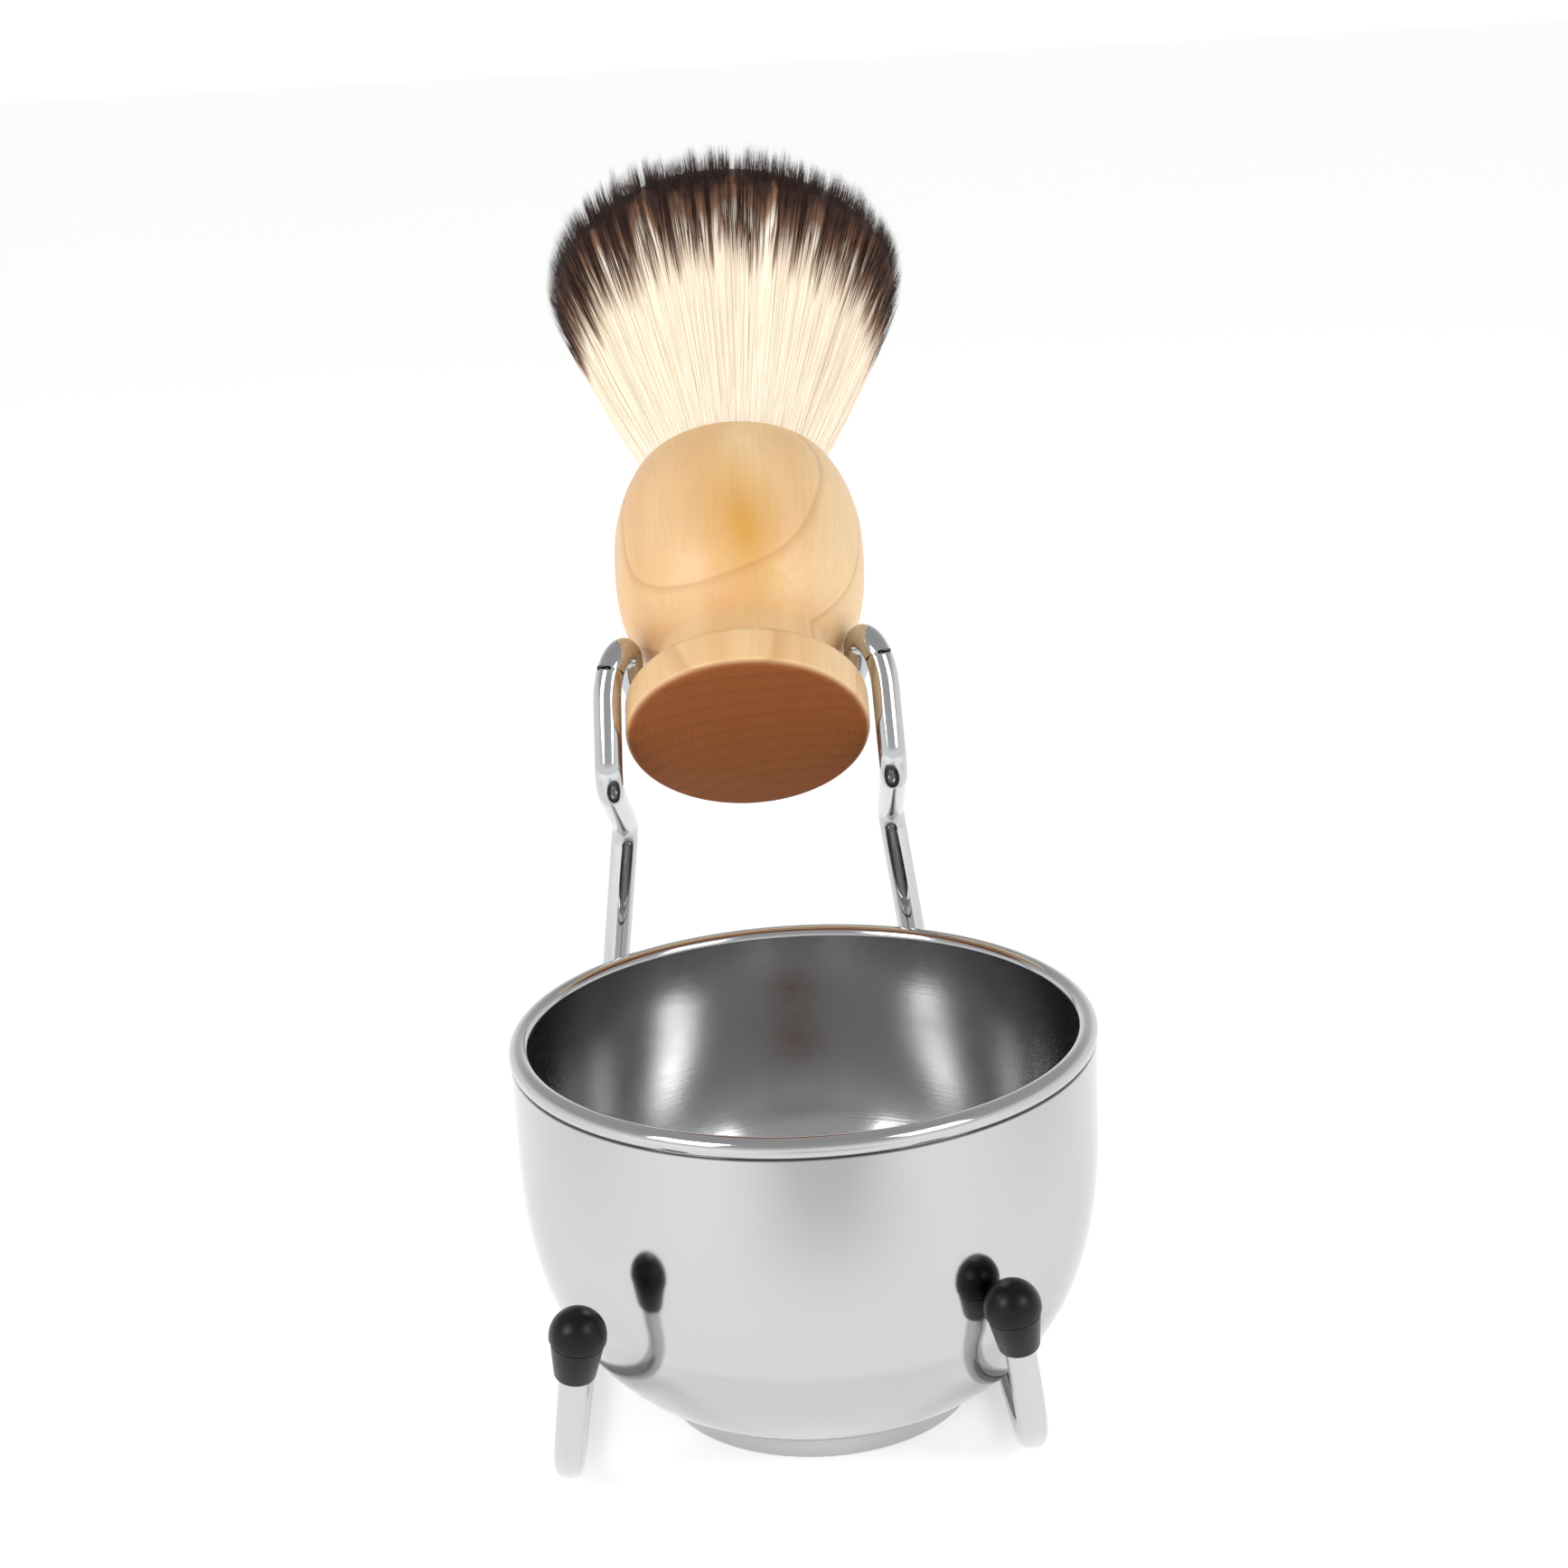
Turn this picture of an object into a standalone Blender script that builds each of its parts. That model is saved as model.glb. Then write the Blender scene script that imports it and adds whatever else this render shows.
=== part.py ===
"""Shaving mug set: a double-walled steel bowl and a wooden shaving brush on a bent wire stand.

Frame: +Z up, metres. The origin is the centre of the bowl's flat foot on the surface it stands on.
The stand's prongs are in front, at -Y. The brush lies in the fork at the back, base forward and
down, bristles back and up.
"""
import math

import bmesh
import bpy
from mathutils import Matrix, Vector

# Bowl
BOWL_RADIUS = 0.0400
BOWL_HEIGHT = 0.0543
BOWL_WALL_RADIUS = 0.0398
BOWL_SHOULDER_HEIGHT = 0.0440
BOWL_CURVE_POWER = 2.85
BOWL_LIP_RADIUS = 0.03713
BOWL_FOOT_RADIUS = 0.0217
BOWL_FOOT_HEIGHT = 0.0024
BOWL_SHEET = 0.0007
BOWL_INSIDE_FLOOR = 0.0075
BOWL_INSIDE_POWER = 2.5
BOWL_SIDES = 48

# Stand wire: corners of the right half as (distance from the middle plane, y, z, bend radius)
WIRE_RADIUS = 0.0020
STAND_MIDDLE_X = -0.0038
FORK_MIDDLE_X = -0.0047
BASE_CORNERS = (
    (0.0273, -0.0362, 0.0293, 0.0),
    (0.0311, -0.0318, 0.0020, 0.0160),
    (0.0288, 0.0428, 0.0020, 0.0120),
    (0.0198, 0.0428, 0.0703, 0.0050),
)
FORK_CORNERS = (
    (0.0202, 0.0239, 0.0818, 0.0040),
    (0.0197, 0.0293, 0.0955, 0.0160),
    (0.0167, 0.0337, 0.1034, 0.0045),
    (0.0163, 0.0453, 0.0824, 0.0159),
)
BEND_STEP = math.radians(15)

# Rubber end caps on the front prongs
CAP_LENGTH = 0.0098
CAP_DOME_RADIUS = 0.0037
CAP_DOME_HEIGHT = 0.0044
CAP_SLEEVE_TOP_RADIUS = 0.0035
CAP_SLEEVE_MOUTH_RADIUS = 0.0027
CAP_MOUTH_HEIGHT = 0.0222
CAP_SIDES = 20

# Brush: distances along its axis are measured from the flat base
BRUSH_BASE_CENTRE = Vector((-0.0048, 0.0266, 0.0873))
BRUSH_TILT = math.radians(51.5)
BRUSH_SWING = math.radians(1.0)
BASE_RADIUS = 0.0174
BASE_THICKNESS = 0.0066
BASE_ROUNDING = 0.0012
NECK_RADIUS = 0.0127
NECK_AT = 0.0105
BALL_RADIUS = 0.0185
BALL_HALF_LENGTH = 0.0229
BALL_AT = 0.0338
BALL_START = 0.0140
BALL_LOWER_POWER = 2.8
HANDLE_LENGTH = 0.0465
SOCKET_RADIUS = 0.0112
SOCKET_DEPTH = 0.0120
PLUG_THICKNESS = 0.0060
HANDLE_SIDES = 36

# Bristle knot, a slightly flattened fan
KNOT_ROOT_RADIUS = 0.0108
KNOT_HALF_WIDTH = 0.0298
KNOT_FLATNESS = 0.85
KNOT_WIDEST_AT = 0.0905
KNOT_TIP_AT = 0.1070
KNOT_SIDES = 32

GAP = 0.0003


def clear_scene():
    for old in list(bpy.data.objects):
        bpy.data.objects.remove(old, do_unlink=True)


def make_material(name, colour, roughness, metallic):
    material = bpy.data.materials.new(name)
    material.use_nodes = True
    shader = material.node_tree.nodes["Principled BSDF"]
    shader.inputs["Base Color"].default_value = (*colour, 1.0)
    shader.inputs["Roughness"].default_value = roughness
    shader.inputs["Metallic"].default_value = metallic
    return material


def add_object(name, data, material, place=None):
    item = bpy.data.objects.new(name, data)
    data.materials.append(material)
    bpy.context.scene.collection.objects.link(item)
    if place is not None:
        item.matrix_world = place
    return item


def turned(name, outline, sides, shape=None):
    """Spin an outline of (radius, height) points, both ends on the axis, into one closed body."""
    work = bmesh.new()
    points = [work.verts.new((radius, 0.0, height)) for radius, height in outline]
    lines = [work.edges.new(pair) for pair in zip(points, points[1:])]
    bmesh.ops.spin(
        work,
        geom=points + lines,
        cent=(0.0, 0.0, 0.0),
        axis=(0.0, 0.0, 1.0),
        angle=2.0 * math.pi,
        steps=sides,
    )
    bmesh.ops.remove_doubles(work, verts=work.verts, dist=0.000005)
    if shape is not None:
        for vertex in work.verts:
            vertex.co = shape(vertex.co)
    bmesh.ops.recalc_face_normals(work, faces=work.faces)
    mesh = bpy.data.meshes.new(name)
    work.to_mesh(mesh)
    work.free()
    mesh.shade_smooth()
    mesh.set_sharp_from_angle(angle=math.radians(35))
    return mesh


def arc(centre_radius, centre_height, radius, start, end, steps):
    """Outline points round a circle, with angles in degrees from +radius towards +height."""
    points = []
    for step in range(steps + 1):
        angle = math.radians(start + (end - start) * step / steps)
        points.append((centre_radius + radius * math.cos(angle), centre_height + radius * math.sin(angle)))
    return points


def bowl_wall_radius(height):
    """Radius of the bowl's outer face: straight above the shoulder, round below it."""
    drop = max(0.0, (BOWL_SHOULDER_HEIGHT - height) / BOWL_SHOULDER_HEIGHT)
    return BOWL_WALL_RADIUS * (1.0 - drop**BOWL_CURVE_POWER) ** (1.0 / BOWL_CURVE_POWER)


def bowl_inside_radius(height):
    """Radius of the bowl's inner face: straight above the shoulder, round down to its floor."""
    deep = BOWL_SHOULDER_HEIGHT - BOWL_INSIDE_FLOOR
    drop = min(1.0, max(0.0, (BOWL_SHOULDER_HEIGHT - height) / deep))
    return BOWL_LIP_RADIUS * (1.0 - drop**BOWL_INSIDE_POWER) ** (1.0 / BOWL_INSIDE_POWER)


def make_bowl(outer_steel, inner_steel):
    """Two pressed cups: the inner one carries the rolled rim and hangs in the outer one."""
    rim_radius = (BOWL_RADIUS - BOWL_LIP_RADIUS) / 2.0
    rim_centre = BOWL_LIP_RADIUS + rim_radius
    rim_height = BOWL_HEIGHT - rim_radius
    outer_top = rim_height - rim_radius - GAP

    flank = [0.0045, 0.0080, 0.0120, 0.0170, 0.0230, 0.0300, 0.0370, BOWL_SHOULDER_HEIGHT]
    outline = [(0.0, 0.0), (BOWL_FOOT_RADIUS - 0.0004, 0.0), (BOWL_FOOT_RADIUS, 0.0004)]
    outline.append((BOWL_FOOT_RADIUS, BOWL_FOOT_HEIGHT))
    outline += [(bowl_wall_radius(height), height) for height in flank]
    outline += [(BOWL_WALL_RADIUS, outer_top), (BOWL_WALL_RADIUS - BOWL_SHEET, outer_top)]
    outline += [(bowl_wall_radius(height) - BOWL_SHEET, height) for height in reversed(flank[1:])]
    outline += [(BOWL_FOOT_RADIUS, flank[0]), (BOWL_FOOT_RADIUS - BOWL_SHEET, BOWL_SHEET), (0.0, BOWL_SHEET)]
    add_object("bowl_outer_shell", turned("bowl_outer_shell", outline, BOWL_SIDES), outer_steel)

    wall = [BOWL_INSIDE_FLOOR + part * (BOWL_SHOULDER_HEIGHT - BOWL_INSIDE_FLOOR) for part in
            (0.0, 0.004, 0.02, 0.06, 0.13, 0.24, 0.4, 0.62, 1.0)]
    under = [(0.0, BOWL_INSIDE_FLOOR - BOWL_SHEET)]
    under += [(bowl_inside_radius(height + 0.6 * BOWL_SHEET), height - BOWL_SHEET) for height in wall[1:-1]]
    under += [(BOWL_LIP_RADIUS + BOWL_SHEET, BOWL_SHOULDER_HEIGHT)]
    under += [(BOWL_LIP_RADIUS + BOWL_SHEET, rim_height - 0.0010)]
    rim = arc(rim_centre, rim_height, rim_radius, -55, 180, 9)
    inside = [(bowl_inside_radius(height), height) for height in reversed(wall)]
    mesh = turned("bowl_inner_shell", under + rim + inside, BOWL_SIDES)
    add_object("bowl_inner_shell", mesh, inner_steel)


def bent_path(corners):
    """Turn corners with bend radii into points along straight runs and round bends."""
    path = [corners[0][0]]
    for before, (corner, radius), after in zip(corners, corners[1:], corners[2:]):
        arriving = (corner - before[0]).normalized()
        leaving = (after[0] - corner).normalized()
        turn = arriving.angle(leaving)
        reach = radius * math.tan(turn / 2.0)
        axis = arriving.cross(leaving).normalized()
        start = corner - arriving * reach
        centre = start + axis.cross(arriving) * radius
        steps = max(2, round(turn / BEND_STEP))
        for step in range(steps + 1):
            path.append(centre + Matrix.Rotation(turn * step / steps, 3, axis) @ (start - centre))
    path.append(corners[-1][0])
    return path


def make_stand(steel):
    """One rod, bent from its left front prong round to its right front prong."""
    right = []
    left = []
    for middle, corners in ((STAND_MIDDLE_X, BASE_CORNERS), (FORK_MIDDLE_X, FORK_CORNERS)):
        for half, y, z, radius in corners:
            right.append((Vector((middle + half, y, z)), radius))
            left.append((Vector((middle - half, y, z)), radius))
    curve = bpy.data.curves.new("stand_wire", "CURVE")
    curve.dimensions = "3D"
    curve.bevel_depth = WIRE_RADIUS
    curve.bevel_resolution = 3
    curve.use_fill_caps = True
    points = bent_path(left + right[::-1])
    rod = curve.splines.new("POLY")
    rod.points.add(len(points) - 1)
    for control, point in zip(rod.points, points):
        control.co = (*point, 1.0)
    rod.use_smooth = True
    add_object("stand_wire", curve, steel)


def cap_outline():
    """Rubber cap from its mouth up: blind bore, tapered sleeve, small step, domed head."""
    bore = WIRE_RADIUS + GAP
    bore_depth = CAP_LENGTH - CAP_DOME_HEIGHT + 0.0025
    outline = [(0.0, bore_depth), (bore, bore_depth), (bore, 0.0), (CAP_SLEEVE_MOUTH_RADIUS, 0.0)]
    step_height = CAP_LENGTH - CAP_DOME_HEIGHT
    outline += [(CAP_SLEEVE_TOP_RADIUS, step_height), (CAP_DOME_RADIUS, step_height)]
    dome_centre = CAP_LENGTH - CAP_DOME_RADIUS
    outline += arc(0.0, dome_centre, CAP_DOME_RADIUS, 0, 90, 6)[:-1]
    outline.append((0.0, CAP_LENGTH))
    return outline


def make_caps(rubber):
    mesh = turned("rubber_cap", cap_outline(), CAP_SIDES)
    tip, foot = BASE_CORNERS[0], BASE_CORNERS[1]
    for name, side in (("rubber_cap_left", -1.0), ("rubber_cap_right", 1.0)):
        low = Vector((STAND_MIDDLE_X + side * foot[0], foot[1], foot[2]))
        high = Vector((STAND_MIDDLE_X + side * tip[0], tip[1], tip[2]))
        along = (high - low).normalized()
        mouth = low + along * ((CAP_MOUTH_HEIGHT - low.z) / along.z)
        place = Matrix.Translation(mouth) @ along.to_track_quat("Z", "Y").to_matrix().to_4x4()
        add_object(name, mesh.copy(), rubber, place)


def ball_radius(height):
    """Radius of the handle's ball: long and egg-shaped, fuller on its lower side."""
    part = abs(height - BALL_AT) / BALL_HALF_LENGTH
    power = BALL_LOWER_POWER if height < BALL_AT else 2.0
    return BALL_RADIUS * (1.0 - part**power) ** (1.0 / power)


def handle_outline():
    """Turned handle from its base up: flange, cove, ball, and the socket bored in its top."""
    outline = [(0.0, 0.0)]
    outline += arc(BASE_RADIUS - BASE_ROUNDING, BASE_ROUNDING, BASE_ROUNDING, -90, 0, 3)
    shoulder = BASE_THICKNESS - BASE_ROUNDING
    outline += arc(BASE_RADIUS - BASE_ROUNDING, shoulder, BASE_ROUNDING, 0, 80, 3)
    cove = NECK_AT - BASE_THICKNESS
    outline += arc(NECK_RADIUS + cove, NECK_AT, cove, 240, 180, 3)
    steps = 14
    for step in range(steps + 1):
        height = BALL_START + (HANDLE_LENGTH - BALL_START) * step / steps
        outline.append((ball_radius(height), height))
    outline += [(SOCKET_RADIUS, HANDLE_LENGTH), (SOCKET_RADIUS, HANDLE_LENGTH - SOCKET_DEPTH)]
    outline.append((0.0, HANDLE_LENGTH - SOCKET_DEPTH))
    return outline


def knot_radius(along):
    """Half width of the bristle fan, from the socket to where it is widest."""
    part = (along - HANDLE_LENGTH) / (KNOT_WIDEST_AT - HANDLE_LENGTH)
    return KNOT_ROOT_RADIUS + (KNOT_HALF_WIDTH - KNOT_ROOT_RADIUS) * max(0.0, part) ** 0.95


def flatten_fan(point):
    """Press the fan flatter front to back, more and more towards its tips."""
    part = min(1.0, max(0.0, (point.z - HANDLE_LENGTH) / (KNOT_WIDEST_AT - HANDLE_LENGTH)))
    return Vector((point.x, point.y * (1.0 - (1.0 - KNOT_FLATNESS) * part), point.z))


def make_brush(wood, resin, hair):
    turn = Matrix.Rotation(-BRUSH_SWING, 4, "Z") @ Matrix.Rotation(-BRUSH_TILT, 4, "X")
    place = Matrix.Translation(BRUSH_BASE_CENTRE) @ turn
    add_object("brush_handle", turned("brush_handle", handle_outline(), HANDLE_SIDES), wood, place)

    floor = HANDLE_LENGTH - SOCKET_DEPTH + GAP
    edge = SOCKET_RADIUS - GAP
    plug = [(0.0, floor), (edge, floor), (edge, floor + PLUG_THICKNESS), (0.0, floor + PLUG_THICKNESS)]
    add_object("knot_plug", turned("knot_plug", plug, HANDLE_SIDES), resin, place)

    root = floor + PLUG_THICKNESS + GAP
    fan = [(0.0, root), (KNOT_ROOT_RADIUS, root)]
    lengths = [HANDLE_LENGTH + part * (KNOT_WIDEST_AT - HANDLE_LENGTH) for part in (0.0, 0.2, 0.4, 0.6, 0.8)]
    fan += [(knot_radius(along), along) for along in lengths]
    crown = KNOT_TIP_AT - KNOT_WIDEST_AT
    for step in range(6):
        angle = math.radians(90.0 * step / 6)
        fan.append((KNOT_HALF_WIDTH * math.cos(angle), KNOT_WIDEST_AT + crown * math.sin(angle)))
    fan.append((0.0, KNOT_TIP_AT))
    add_object("bristle_knot", turned("bristle_knot", fan, KNOT_SIDES, flatten_fan), hair, place)


def main():
    clear_scene()
    make_bowl(
        make_material("polished_steel", (0.78, 0.78, 0.79), 0.16, 1.0),
        make_material("brushed_steel", (0.52, 0.52, 0.53), 0.28, 1.0),
    )
    make_stand(make_material("polished_wire", (0.72, 0.72, 0.74), 0.12, 1.0))
    make_caps(make_material("black_rubber", (0.012, 0.012, 0.012), 0.55, 0.0))
    make_brush(
        make_material("pale_wood", (0.80, 0.55, 0.30), 0.42, 0.0),
        make_material("resin", (0.75, 0.68, 0.48), 0.35, 0.0),
        make_material("bristle", (0.85, 0.78, 0.68), 0.70, 0.0),
    )


main()
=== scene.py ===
"""Shaving mug set: a double-walled steel bowl and a wooden shaving brush on a bent wire stand.

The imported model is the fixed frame: metres, +Z up, origin at the centre of the bowl's foot. Distances
called "along" run up the brush's own axis from its flat base to its bristle tips.
"""
import math

import bpy
import numpy as np
from mathutils import Matrix, Vector


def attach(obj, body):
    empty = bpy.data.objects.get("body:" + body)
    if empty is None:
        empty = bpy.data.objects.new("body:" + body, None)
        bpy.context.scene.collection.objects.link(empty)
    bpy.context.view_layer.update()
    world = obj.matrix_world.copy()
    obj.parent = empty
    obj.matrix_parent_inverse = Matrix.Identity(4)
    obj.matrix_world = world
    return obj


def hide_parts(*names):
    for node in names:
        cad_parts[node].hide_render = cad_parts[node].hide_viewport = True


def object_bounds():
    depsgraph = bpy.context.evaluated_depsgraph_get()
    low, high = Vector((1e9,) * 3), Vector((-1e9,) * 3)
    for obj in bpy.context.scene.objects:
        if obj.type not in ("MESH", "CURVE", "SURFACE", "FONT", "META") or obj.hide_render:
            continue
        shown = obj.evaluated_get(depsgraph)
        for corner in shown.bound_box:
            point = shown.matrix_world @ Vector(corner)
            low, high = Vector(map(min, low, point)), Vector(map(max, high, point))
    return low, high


bl_info = {
    "name": "Shaving Mug Set",
    "version": (1, 0, 0),
    "blender": (4, 5, 0),
    "location": "View3D > Sidebar > Shaving Set",
    "description": "Builds a steel shaving bowl and a wooden brush on a bent wire stand",
    "category": "Add Mesh",
}

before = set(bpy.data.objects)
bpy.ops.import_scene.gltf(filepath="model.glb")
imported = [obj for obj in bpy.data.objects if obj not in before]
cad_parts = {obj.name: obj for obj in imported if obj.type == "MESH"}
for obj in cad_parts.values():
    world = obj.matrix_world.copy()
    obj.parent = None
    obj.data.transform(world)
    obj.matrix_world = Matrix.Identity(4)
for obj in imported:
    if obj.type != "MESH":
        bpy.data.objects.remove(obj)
CAD_LOW, CAD_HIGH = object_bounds()

# Bowl: two pressed cups, the inner one with a rolled rim
BOWL_RADIUS = 0.0400
BOWL_HEIGHT = 0.0543
BOWL_WALL_RADIUS = 0.0398
BOWL_SHOULDER_HEIGHT = 0.0440
BOWL_CURVE_POWER = 2.85
BOWL_LIP_RADIUS = 0.03713
BOWL_FOOT_RADIUS = 0.0217
BOWL_FOOT_HEIGHT = 0.0024
BOWL_SHEET = 0.0007
BOWL_INSIDE_FLOOR = 0.0075
BOWL_INSIDE_POWER = 2.5
SEAM_DEPTH = 0.0012

# Stand wire: corners of the right half as (distance from the middle plane, y, z, bend radius)
STAND_MIDDLE_X = -0.0038
FORK_MIDDLE_X = -0.0047
BASE_CORNERS = (
    (0.0273, -0.0362, 0.0293, 0.0),
    (0.0311, -0.0318, 0.0020, 0.0160),
    (0.0288, 0.0428, 0.0020, 0.0120),
    (0.0198, 0.0428, 0.0703, 0.0050),
)
FORK_CORNERS = (
    (0.0202, 0.0239, 0.0818, 0.0040),
    (0.0197, 0.0293, 0.0955, 0.0160),
    (0.0167, 0.0337, 0.1034, 0.0045),
    (0.0163, 0.0453, 0.0824, 0.0159),
)

# Rubber caps
CAP_LENGTH = 0.0098
CAP_DOME_RADIUS = 0.0037
CAP_DOME_HEIGHT = 0.0044
CAP_SLEEVE_TOP_RADIUS = 0.0035
CAP_SLEEVE_MOUTH_RADIUS = 0.0027
CAP_MOUTH_HEIGHT = 0.0222
CAP_BORE_RADIUS = 0.0023

# Brush: distances along its axis are measured from the flat base
BRUSH_BASE_CENTRE = Vector((-0.0048, 0.0266, 0.0873))
BRUSH_TILT = math.radians(51.5)
BRUSH_SWING = math.radians(1.0)
BRUSH_TURN = Matrix.Rotation(-BRUSH_SWING, 4, "Z") @ Matrix.Rotation(-BRUSH_TILT, 4, "X")
BRUSH_PLACE = Matrix.Translation(BRUSH_BASE_CENTRE) @ BRUSH_TURN
BASE_RADIUS = 0.0174
BASE_THICKNESS = 0.0066
BASE_ROUNDING = 0.0012
NECK_RADIUS = 0.0127
NECK_AT = 0.0105
BALL_RADIUS = 0.0185
BALL_HALF_LENGTH = 0.0229
BALL_AT = 0.0338
BALL_START = 0.0140
BALL_LOWER_POWER = 2.8
HANDLE_LENGTH = 0.0465
HANDLE_TOP_ROUNDING = 0.0006
SOCKET_RADIUS = 0.0112
SOCKET_DEPTH = 0.0120
KNOT_ROOT_AT = 0.0412
KNOT_ROOT_RADIUS = 0.0108
KNOT_HALF_WIDTH = 0.0298
KNOT_FLATNESS = 0.85
KNOT_WIDEST_AT = 0.0905
KNOT_TIP_AT = 0.1070
KNOT_FAN_POWER = 0.95

# Camera
CAMERA_PLACE = Vector((-0.00993, -0.34404, 0.19062))
CAMERA_YAW = 0.02652
CAMERA_PITCH = 0.28987
CAMERA_ROLL = 0.05189
CAMERA_LENS = 62.25


def linear(code):
    """Turn an sRGB hex colour into linear red, green and blue."""
    values = [int(code[start:start + 2], 16) / 255.0 for start in (1, 3, 5)]
    return tuple(v / 12.92 if v <= 0.04045 else ((v + 0.055) / 1.055) ** 2.4 for v in values)


def colour_property(name, description, code):
    return bpy.props.FloatVectorProperty(
        name=name, description=description, subtype="COLOR", size=3, min=0.0, max=1.0, default=linear(code)
    )


def length_property(name, description, default):
    return bpy.props.FloatProperty(
        name=name, description=description, default=default, min=0.00001, unit="LENGTH", precision=5
    )


class ShavingBowlSettings(bpy.types.PropertyGroup):
    """Sizes and colours of the steel bowl."""

    sheet: length_property("Sheet", "Thickness of the pressed steel sheet", BOWL_SHEET)
    sides: bpy.props.IntProperty(name="Sides", description="Facets round the bowl", default=144, min=24)
    outside: colour_property("Outside", "Polished stainless steel outside the bowl", "#C2C2C3")
    inside: colour_property("Inside", "Circumferentially brushed steel inside the bowl", "#C2C2C3")


class ShavingStandSettings(bpy.types.PropertyGroup):
    """Sizes and colours of the wire stand and its caps."""

    wire_radius: length_property("Wire radius", "Radius of the bent stainless rod", 0.0020)
    wire: colour_property("Wire", "Polished stainless rod", "#C9CACC")
    rubber: colour_property("Rubber", "Moulded black rubber of the end caps", "#080809")


class ShavingBrushSettings(bpy.types.PropertyGroup):
    """Sizes and colours of the brush."""

    sides: bpy.props.IntProperty(name="Sides", description="Facets round the handle", default=128, min=24)
    wood: colour_property("Wood", "Turned and lacquered pale hardwood", "#E6B982")
    wood_light: colour_property("Light wood", "Paler early growth in the wood", "#F1CF9E")
    streak: colour_property("Streak", "Golden mineral streak in the wood", "#D9A24E")
    growth_line: colour_property("Growth line", "Thin dark edge of each year's growth", "#B97F45")
    # The end grain colour is darker end grain plus painted shade for the downward-facing flat base.
    end_grain_and_shade: colour_property("End grain", "Wood on the flat base, where the fibres end", "#9A5319")
    hair: colour_property("Bristle", "Undyed synthetic bristle", "#FFF5E3")
    hair_middle: colour_property("Bristle edge", "Where the dye fades out", "#8A6650")
    hair_tip: colour_property("Bristle tip", "Dyed bristle tips", "#3A2520")
    resin: colour_property("Resin", "Set resin that holds the bristles", "#D8C48C")
    bristles: bpy.props.IntProperty(name="Bristles", description="Number of bristles", default=22000, min=100)
    bristle_radius: length_property("Bristle radius", "Radius of one bristle at its root", 0.00009)


class ShavingStageSettings(bpy.types.PropertyGroup):
    """Floor and light."""

    floor: colour_property("Floor", "Plain pale matt floor", "#F6F6F5")
    floor_size: length_property("Floor size", "Side of the square floor", 12.0)
    light: bpy.props.FloatProperty(
        name="Light", description="Power of the left soft light", default=2.2, unit="POWER"
    )


def deselect_all():
    if bpy.context.object is not None and bpy.context.object.mode != "OBJECT":
        bpy.ops.object.mode_set(mode="OBJECT")
    bpy.ops.object.select_all(action="DESELECT")


def draw_line(name, points):
    """Extrude one vertex through the points; the object is left in edit mode, all selected."""
    deselect_all()
    bpy.ops.mesh.primitive_plane_add(size=0.001, location=points[0])
    item = bpy.context.object
    item.name = name
    item.data.name = name
    bpy.ops.object.transform_apply(location=True, rotation=True, scale=True)
    bpy.ops.object.mode_set(mode="EDIT")
    bpy.ops.mesh.select_all(action="SELECT")
    bpy.ops.mesh.merge(type="CENTER")
    for before, after in zip(points, points[1:]):
        step = Vector(after) - Vector(before)
        bpy.ops.mesh.extrude_region_move(TRANSFORM_OT_translate={"value": step})
    bpy.ops.mesh.select_all(action="SELECT")
    return item


def turn_outline(name, outline, sides, place=None):
    """Spin an outline of (radius, height) points, both ends on the axis, into a closed body."""
    item = draw_line(name, [(radius, 0.0, height) for radius, height in outline])
    bpy.ops.mesh.spin(steps=sides, angle=2.0 * math.pi, center=(0.0, 0.0, 0.0), axis=(0.0, 0.0, 1.0))
    bpy.ops.mesh.select_all(action="SELECT")
    bpy.ops.mesh.remove_doubles(threshold=0.000004)
    bpy.ops.mesh.normals_make_consistent(inside=False)
    bpy.ops.object.mode_set(mode="OBJECT")
    bpy.ops.object.shade_smooth_by_angle(angle=math.radians(38))
    if place is not None:
        item.matrix_world = place
        bpy.ops.object.transform_apply(location=True, rotation=True, scale=True)
    return item


def dress(item, material, body, slot, *nodes):
    """Give a finished piece its material and body, and hide the CAD nodes it stands for; the slot is not
    used.
    """
    item.data.materials.clear()
    item.data.materials.append(material)
    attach(item, body)
    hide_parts(*nodes)


def arc(centre_radius, centre_height, radius, start, end, steps):
    """Outline points round a circle, with angles in degrees from +radius towards +height."""
    points = []
    for step in range(steps + 1):
        angle = math.radians(start + (end - start) * step / steps)
        points.append((centre_radius + radius * math.cos(angle), centre_height + radius * math.sin(angle)))
    return points


# ---------------------------------------------------------------- materials

COLOURS = {"data_type": "RGBA"}
TIMES = {"operation": "MULTIPLY"}
TIMES_PLUS = {"operation": "MULTIPLY_ADD"}
ROOT = {"operation": "SQRT"}
FRACTION = {"operation": "FRACT"}
PLACED = {"vector_type": "TEXTURE"}


def start_material(name):
    """A new material, its node tree and its shader."""
    material = bpy.data.materials.new(name)
    material.use_nodes = True
    return material, material.node_tree, material.node_tree.nodes["Principled BSDF"]


def set_inputs(tree, item, **inputs):
    """Link or set a node's inputs, each called by its name, or by its number after an underscore."""
    for name, value in inputs.items():
        socket = item.inputs[int(name[1:])] if name[0] == "_" else item.inputs[name.replace("_", " ")]
        if isinstance(value, bpy.types.NodeSocket):
            tree.links.new(value, socket)
        elif socket.type == "RGBA":
            socket.default_value = (*value, 1.0)
        else:
            socket.default_value = value


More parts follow.
